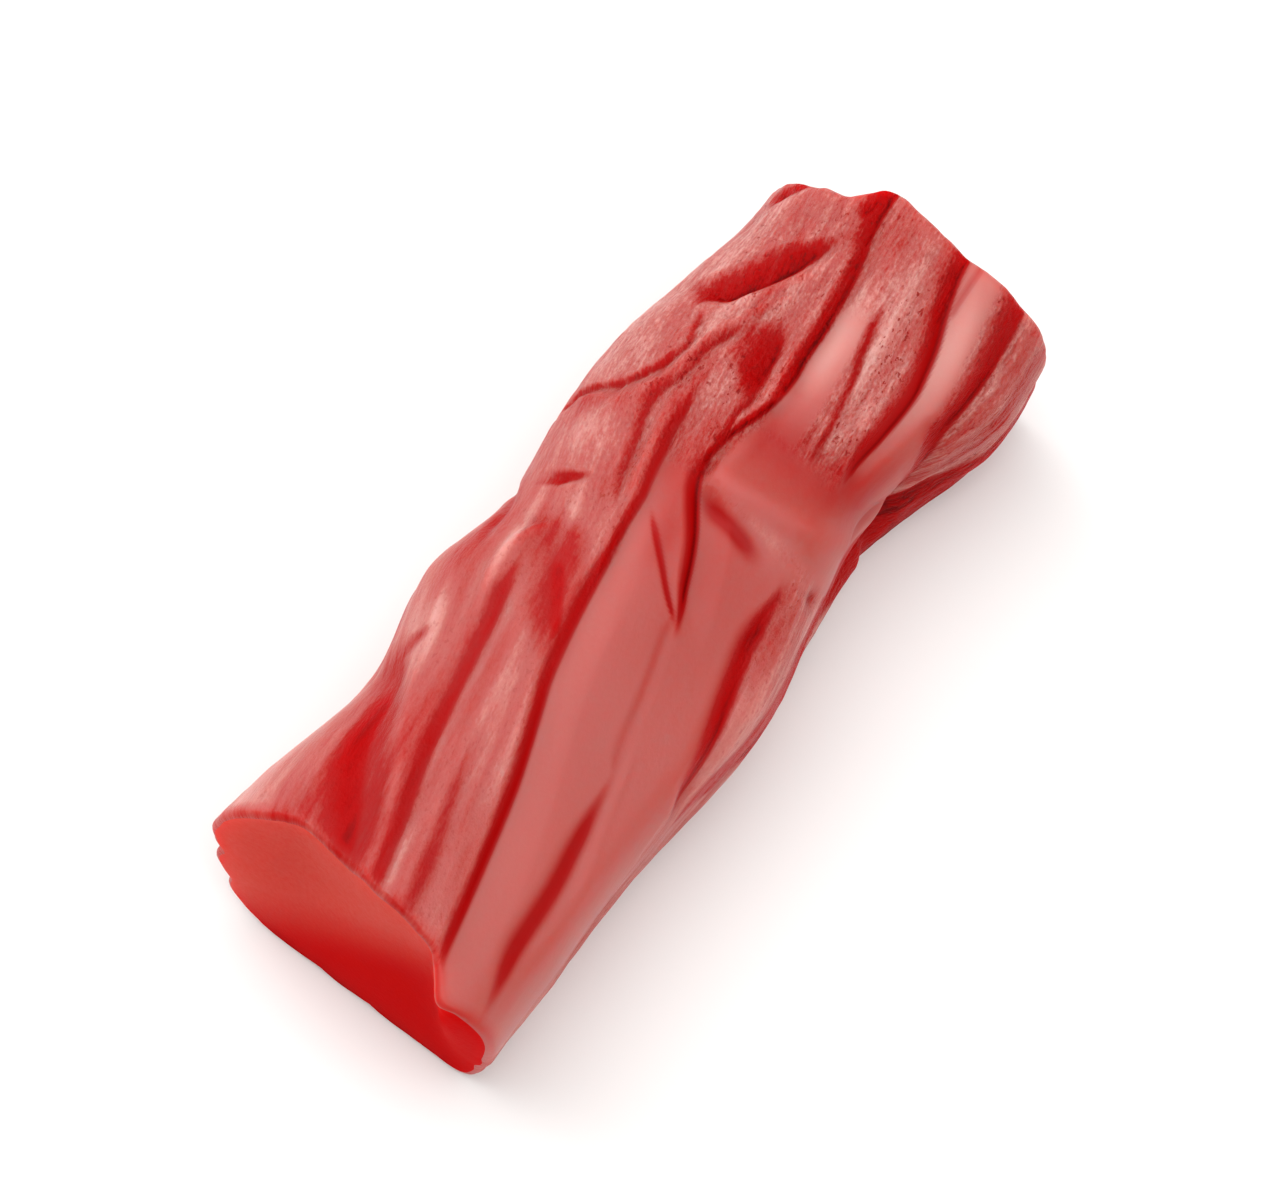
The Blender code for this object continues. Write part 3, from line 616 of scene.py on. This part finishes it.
def skin(along, a):
    """Points of the side, from 0 at the near cut to 1 at the far one. Within its rounding
    of a cut, the skin turns in on a quarter circle."""
    near = near_cut(*outline(np.zeros_like(a), a, 0))
    far = far_cut(*outline(np.full_like(a, LENGTH), a, 0))
    s = near + along * (far - near)
    from_cut = np.minimum(along, 1 - along) * (far - near)
    bend = np.clip(1 - from_cut / EDGE_ROUNDING, 0, 1)
    y, z = outline(s, a, EDGE_ROUNDING * (1 - np.sqrt(1 - bend ** 2)))
    return np.stack([s, y, z], axis=-1)


def cut_rings(edge, cut, outward):
    """Rings that close a cut from its edge to its middle point: the edge drawn in by each
    share, on the cut's surface plus a dome that falls with the square of the share."""
    middle = edge.mean(axis=0)
    levels = []
    for share in CUT_RINGS + (0,):
        ring = middle + (edge - middle) * share
        ring[:, 0] = cut(ring[:, 1], ring[:, 2]) + outward * CUT_DOME * (1 - share * share)
        levels.append(ring)
    return levels[:-1], levels[-1][0]


def skin_rows():
    """Where the rows of the grid lie, as shares of the length."""
    edge = np.array(EDGE_ROWS) / LENGTH
    middle = np.linspace(MIDDLE_STARTS, 1 - MIDDLE_STARTS, MIDDLE_ROWS)
    return np.concatenate([edge, middle, 1 - edge[::-1]])


def piece_mesh():
    """Vertices and faces of the closed piece, which faces are cuts, and each vertex's s and
    a: columns that follow the twist, quads between the rows, and a fan in each cut."""
    turn = np.arange(COLUMNS) * 360.0 / COLUMNS
    along, turn = np.meshgrid(skin_rows(), turn, indexing="ij")
    angle = turn + follow(TWIST, along * LENGTH)
    angle = angle - np.degrees(CROWDING * np.sin(np.radians(angle)))
    side = skin(along, angle)
    near, near_middle = cut_rings(side[0], near_cut, -1)
    far, far_middle = cut_rings(side[-1], far_cut, 1)
    levels = near[::-1] + list(side) + far
    vertices = np.concatenate(levels + [near_middle[None], far_middle[None]])
    angles = np.concatenate([angle[:1]] * len(near) + [angle] + [angle[-1:]] * len(far))
    a = np.concatenate([angles.ravel(), [0, 0]])
    s = vertices[:, 0].copy()
    column = np.arange(COLUMNS)
    following = (column + 1) % COLUMNS
    start = (np.arange(len(levels) - 1) * COLUMNS)[:, None]
    quads = np.stack([start + column, start + following, start + COLUMNS + following,
                      start + COLUMNS + column], axis=-1).reshape(-1, 4)
    last = (len(levels) - 1) * COLUMNS
    near_tip, far_tip = (np.full_like(column, len(vertices) - k) for k in (2, 1))
    near_fan = np.stack([following, column, near_tip], axis=-1)
    far_fan = np.stack([last + column, last + following, far_tip], axis=-1)
    cut_quads = len(near) * COLUMNS
    cuts = np.zeros(len(quads) + 2 * COLUMNS, dtype=bool)
    cuts[:cut_quads] = True
    cuts[len(quads) - cut_quads:] = True
    faces = quads.tolist() + near_fan.tolist() + far_fan.tolist()
    return vertices, faces, cuts, s, a


def painted_sheen(s, a):
    """How much painted sheen the skin gets: the plain amount where it isn't painted as shade,
    plus a bell for each patch of painted light and shade, carried along the twist, then the rim
    of the near cut and the strip of painted shade."""
    painted_shade = relief(s, a)[1]
    amount = PLAIN_PAINTED_SHEEN * (1 - painted_shade)
    for along, around, half_length, half_breadth, more in PAINTED_LIGHT_AND_SHADE_PATCHES:
        middle = around + follow(TWIST, s) - follow(TWIST, along)
        across = wrap(a - middle) * MM_PER_DEGREE / half_breadth
        patch = np.exp(-((s - along) / half_length) ** 2 - across ** 2)
        amount = amount + more * patch * (1 - np.clip(painted_shade, 0, 1))
    rim = ease(s - near_cut(*outline(s, a, 0)), 0, RIM_BREADTH)
    amount = amount * rim + RIM_PAINTED_SHEEN * (1 - rim)
    # Strip of painted shade down the right side, which is turned from the light
    past = wrap(a) - follow(PAINTED_SHADE_STRIP, s)
    left = PAINTED_SHADE_STRIP_BREADTH * ease(s, *PAINTED_SHADE_STRIP_OPENS) - past
    strip = ease(past, 0, PAINTED_SHADE_STRIP_BORDERS[0]) * ease(left, 0, PAINTED_SHADE_STRIP_BORDERS[1])
    return np.clip(amount * (1 - strip), DEEPEST_PAINTED_SHADE, 1)


def linear(code):
    """The linear colour of an sRGB hex code."""
    parts = [int(code[k:k + 2], 16) / 255 for k in (1, 3, 5)]
    return [p / 12.92 if p <= 0.04045 else ((p + 0.055) / 1.055) ** 2.4 for p in parts] + [1]


def add(tree, kind, inputs=None, **settings):
    """Adds a node with its settings; inputs holds values, or outputs to link."""
    made = tree.nodes.new("ShaderNode" + kind)
    for name, value in settings.items():
        setattr(made, name, value)
    for socket, value in (inputs or {}).items():
        if isinstance(value, bpy.types.NodeSocket):
            tree.links.new(value, made.inputs[socket])
        else:
            made.inputs[socket].default_value = value
    return made


def calc(tree, operation, *values):
    """The result of a Math node."""
    return add(tree, "Math", dict(enumerate(values)), operation=operation).outputs[0]


def remap(tree, value, start, end, low=0.0, high=1.0):
    """The value stretched from start..end to low..high, and held there."""
    ends = {"Value": value, "From Min": start, "From Max": end, "To Min": low, "To Max": high}
    return add(tree, "MapRange", ends).outputs["Result"]


def noise(tree, flow, times_longer, per_mm, detail):
    """Noise around 0, mostly from -1 to 1, stretched along the flow."""
    along = add(tree, "Mapping", {"Vector": flow, "Scale": (1 / times_longer, 1, 1)})
    made = add(tree, "TexNoise", {"Vector": along.outputs["Vector"], "Scale": per_mm,
                                  "Detail": detail, "Roughness": NOISE_ROUGHNESS})
    return remap(tree, made.outputs["Fac"], *NOISE_SPREAD, -1.0, 1.0)


def new_material(name):
    """An empty material, its node tree and its shader."""
    material = bpy.data.materials.new(name)
    material.use_nodes = True
    return material, material.node_tree, material.node_tree.nodes["Principled BSDF"]


def candy_basics(shader):
    """Soft candy: red light travels millimetres inside it, other light is soon lost."""
    shader.inputs["Subsurface Weight"].default_value = 1.0
    shader.inputs["Subsurface Radius"].default_value = REACH_SHARES
    shader.inputs["Subsurface Scale"].default_value = RED_REACH * MM
    shader.inputs["IOR"].default_value = 1.5
    shader.inputs["Specular IOR Level"].default_value = 0.2


def skin_material():
    """Extruded and stretched licorice skin: satin ridges with a pale painted sheen and painted
    highlights, streaked along the twist and pitted on the far half, and deep red slopes between
    them painted as shade."""
    material, tree, shader = new_material("extruded licorice skin")
    candy_basics(shader)
    flow = add(tree, "Attribute", attribute_name="flow").outputs["Vector"]
    amount = add(tree, "Attribute", attribute_name="painted_sheen").outputs["Fac"]
    smooth = add(tree, "Attribute", attribute_name="pressed").outputs["Fac"]
    s = add(tree, "SeparateXYZ", {0: flow}).outputs["X"]
    free = calc(tree, "SUBTRACT", 1.0, smooth)
    half = remap(tree, s, *FAR_HALF_BEGINS, NEAR_HALF_PATTERNS, 1.0)
    coarse = calc(tree, "MULTIPLY", free, half)
    streaks = noise(tree, flow, *STREAK_PATTERN)
    bands = noise(tree, flow, *BAND_PATTERN)
    grain = noise(tree, flow, *GRAIN_PATTERN)
    cloud = noise(tree, flow, *PIT_CLOUD_PATTERN)

    # The painted sheen lies in streaks and bands, and breaks up where it ends
    border = calc(tree, "MULTIPLY", amount, calc(tree, "SUBTRACT", PLAIN_PAINTED_SHEEN, amount))
    broken = calc(tree, "MULTIPLY_ADD", border, BORDER_BREAKUP, GRAIN_IN_PAINTED_SHEEN)
    patterned_sheen = calc(tree, "MULTIPLY_ADD", grain, calc(tree, "MULTIPLY", broken, coarse), amount)
    patterned_sheen = calc(tree, "MULTIPLY_ADD", bands, calc(tree, "MULTIPLY", free, BANDS_IN_PAINTED_SHEEN), patterned_sheen)
    lines = calc(tree, "MULTIPLY_ADD", border, BORDER_BREAKUP,
                 calc(tree, "MULTIPLY", coarse, STREAKS_IN_PAINTED_SHEEN))
    patterned_sheen = calc(tree, "MULTIPLY_ADD", streaks, calc(tree, "MULTIPLY", lines, free), patterned_sheen)

    # Pits: the lows of a fine noise, in cloudy places that were not pressed
    lows = noise(tree, flow, *PIT_PATTERN)
    pits = calc(tree, "MULTIPLY", remap(tree, lows, *PIT_LOWS, 1.0, 0.0),
                calc(tree, "MULTIPLY", coarse, remap(tree, cloud, *PIT_CLOUDS)))

    # Colour along a ramp: darkest painted shade in creases, red where painted as shade, pale
    # painted sheen, and painted highlight at the top
    ramp = add(tree, "ValToRGB", {0: remap(tree, patterned_sheen, DEEPEST_PAINTED_SHADE, 1.0)})
    stops = ramp.color_ramp.elements
    stops[0].color, stops[1].color = linear(SKIN_TONES[0][1]), linear(SKIN_TONES[-1][1])
    for amount_there, code in SKIN_TONES[1:-1]:
        position = (amount_there - DEEPEST_PAINTED_SHADE) / (1 - DEEPEST_PAINTED_SHADE)
        stops.new(position).color = linear(code)
    dark = calc(tree, "MULTIPLY", pits, PIT_DARKNESS)
    colour = add(tree, "Mix", {0: dark, 6: ramp.outputs[0], 7: linear(PIT_COLOUR)},
                 data_type="RGBA").outputs[2]
    tree.links.new(colour, shader.inputs["Base Color"])
    dull = calc(tree, "MULTIPLY_ADD", calc(tree, "MULTIPLY", grain, free), GRAIN_IN_ROUGHNESS,
                SKIN_ROUGHNESS)
    tree.links.new(dull, shader.inputs["Roughness"])
    height = calc(tree, "SUBTRACT", calc(tree, "ADD", streaks, grain), pits)
    strength = calc(tree, "MULTIPLY_ADD", coarse, PATTERN_BUMP, LEAST_BUMP)
    bump = add(tree, "Bump", {"Height": height, "Strength": strength,
                              "Distance": SKIN_BUMP_HEIGHT * MM})
    tree.links.new(bump.outputs["Normal"], shader.inputs["Normal"])
    return material


def cut_material():
    """Licorice cut by a blade: fine and matte, clear red, with a paler colour painted on as
    light towards the top and left of the cut."""
    material, tree, shader = new_material("blade cut licorice")
    candy_basics(shader)
    shader.inputs["Specular IOR Level"].default_value = 0.05
    shader.inputs["Roughness"].default_value = 0.6
    place = add(tree, "TexCoord").outputs["Object"]
    grain = add(tree, "TexNoise", {"Vector": place, "Scale": CUT_GRAINS_PER_MM / MM,
                                   "Detail": 4.0, "Roughness": NOISE_ROUGHNESS}).outputs["Fac"]
    across = add(tree, "SeparateXYZ", {0: place})
    # Painted light: the cut is paler towards its top and its left, where the light falls
    lit_height = calc(tree, "MULTIPLY_ADD", across.outputs["Y"], PAINTED_LIGHT_LEAN, across.outputs["Z"])
    start, end = PAINTED_LIGHT_COMES_IN
    painted_light = add(tree, "MapRange", {"Value": lit_height, "From Min": start * MM,
                                     "From Max": end * MM},
                  interpolation_type="SMOOTHSTEP").outputs["Result"]
    cloudy_light = calc(tree, "MULTIPLY", painted_light, remap(tree, grain, *NOISE_SPREAD, *PAINTED_LIGHT_CLOUDS))
    colour = add(tree, "Mix", {0: cloudy_light, 6: linear(CUT_RED), 7: linear(CUT_PAINTED_LIGHT)},
                 data_type="RGBA").outputs[2]
    tree.links.new(colour, shader.inputs["Base Color"])
    bump = add(tree, "Bump", {"Height": grain, "Strength": 0.5,
                              "Distance": CUT_BUMP_HEIGHT * MM})
    tree.links.new(bump.outputs["Normal"], shader.inputs["Normal"])
    return material


def add_skin_fields(mesh, s, a):
    """Gives each vertex its painted sheen, which holds the painted light and shade, whether it
    was pressed, and its flow: its place on the piece, in millimetres, with the twist taken out."""
    untwisted = np.radians(a - follow(TWIST, s))
    flow = np.stack([s, GIRTH_RADIUS * np.cos(untwisted), GIRTH_RADIUS * np.sin(untwisted)],
                    axis=-1)
    for name, kind, field, values in (("flow", "FLOAT_VECTOR", "vector", flow),
                                      ("painted_sheen", "FLOAT", "value", painted_sheen(s, a)),
                                      ("pressed", "FLOAT", "value", pressed(s, wrap(a)))):
        made = mesh.attributes.new(name, kind, "POINT")
        made.data.foreach_set(field, np.ascontiguousarray(values, dtype=np.float32).ravel())


def make_piece():
    """The piece as one closed grid, stretched to fill the box of the node it replaces."""
    vertices, faces, cut_faces, s, a = piece_mesh()
    low, high = (np.array(corner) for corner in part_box("licorice"))
    least, most = vertices.min(axis=0), vertices.max(axis=0)
    vertices = low + (vertices - least) * (high - low) / (most - least)
    mesh = bpy.data.meshes.new("licorice_piece")
    mesh.from_pydata(vertices.tolist(), [], faces)
    mesh.shade_smooth()
    mesh.materials.append(skin_material())
    mesh.materials.append(cut_material())
    mesh.polygons.foreach_set("material_index", cut_faces.astype(np.int32))
    add_skin_fields(mesh, s, a)
    piece = bpy.data.objects.new("licorice_piece", mesh)
    bpy.context.scene.collection.objects.link(piece)
    return piece


def make_floor():
    """A wide plain floor of matt white card."""
    half = FLOOR_HALF_SIDE
    mesh = bpy.data.meshes.new("floor")
    mesh.from_pydata([(-half, -half, 0), (half, -half, 0), (half, half, 0), (-half, half, 0)],
                     [], [(0, 1, 2, 3)])
    material, tree, shader = new_material("matt white card")
    shader.inputs["Base Color"].default_value = linear("#F2F0EE")
    shader.inputs["Roughness"].default_value = 0.8
    shader.inputs["Specular IOR Level"].default_value = 0.2
    mesh.materials.append(material)
    floor = bpy.data.objects.new("floor", mesh)
    bpy.context.scene.collection.objects.link(floor)
    return floor


def make_softbox(name, place, turn, size, radiance):
    """A rectangular light that faces down, or turned about X, as bright as radiance times
    white paper."""
    light = bpy.data.lights.new(name, "AREA")
    light.shape = "RECTANGLE"
    light.size, light.size_y = size
    light.energy = radiance * math.pi * size[0] * size[1]
    holder = bpy.data.objects.new(name, light)
    bpy.context.scene.collection.objects.link(holder)
    holder.location = place
    holder.rotation_euler = (math.radians(turn), 0, 0)


def make_room():
    """Faint white light from all round."""
    world = bpy.data.worlds.new("studio")
    world.use_nodes = True
    background = world.node_tree.nodes["Background"]
    background.inputs["Color"].default_value = (1, 1, 1, 1)
    background.inputs["Strength"].default_value = ROOM_LIGHT
    bpy.context.scene.world = world


def make_camera():
    """A long lens at the photograph's angle, as far back as its view's breadth at the piece
    needs, with a gentle contrast curve."""
    azimuth, elevation = math.radians(VIEW_ROUND), math.radians(VIEW_DOWN)
    back = Vector((math.sin(azimuth) * math.cos(elevation),
                   -math.cos(azimuth) * math.cos(elevation), math.sin(elevation)))
    camera = bpy.data.cameras.new("camera")
    camera.lens, camera.sensor_width = LENS, SENSOR
    holder = bpy.data.objects.new("camera", camera)
    bpy.context.scene.collection.objects.link(holder)
    holder.location = Vector(AIM) + back * VIEW_BREADTH * LENS / SENSOR
    holder.rotation_euler = back.to_track_quat("Z", "Y").to_euler()
    bpy.context.scene.camera = holder
    view = bpy.context.scene.view_settings
    view.view_transform = "Standard"
    view.use_curve_mapping = True
    for tone in CAMERA_TONES:
        view.curve_mapping.curves[3].points.new(*tone)
    view.curve_mapping.update()


piece = make_piece()
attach(piece, "root")
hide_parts("licorice")
make_floor()

for name, box in SOFTBOXES.items():
    make_softbox(name, *box)
make_room()
make_camera()
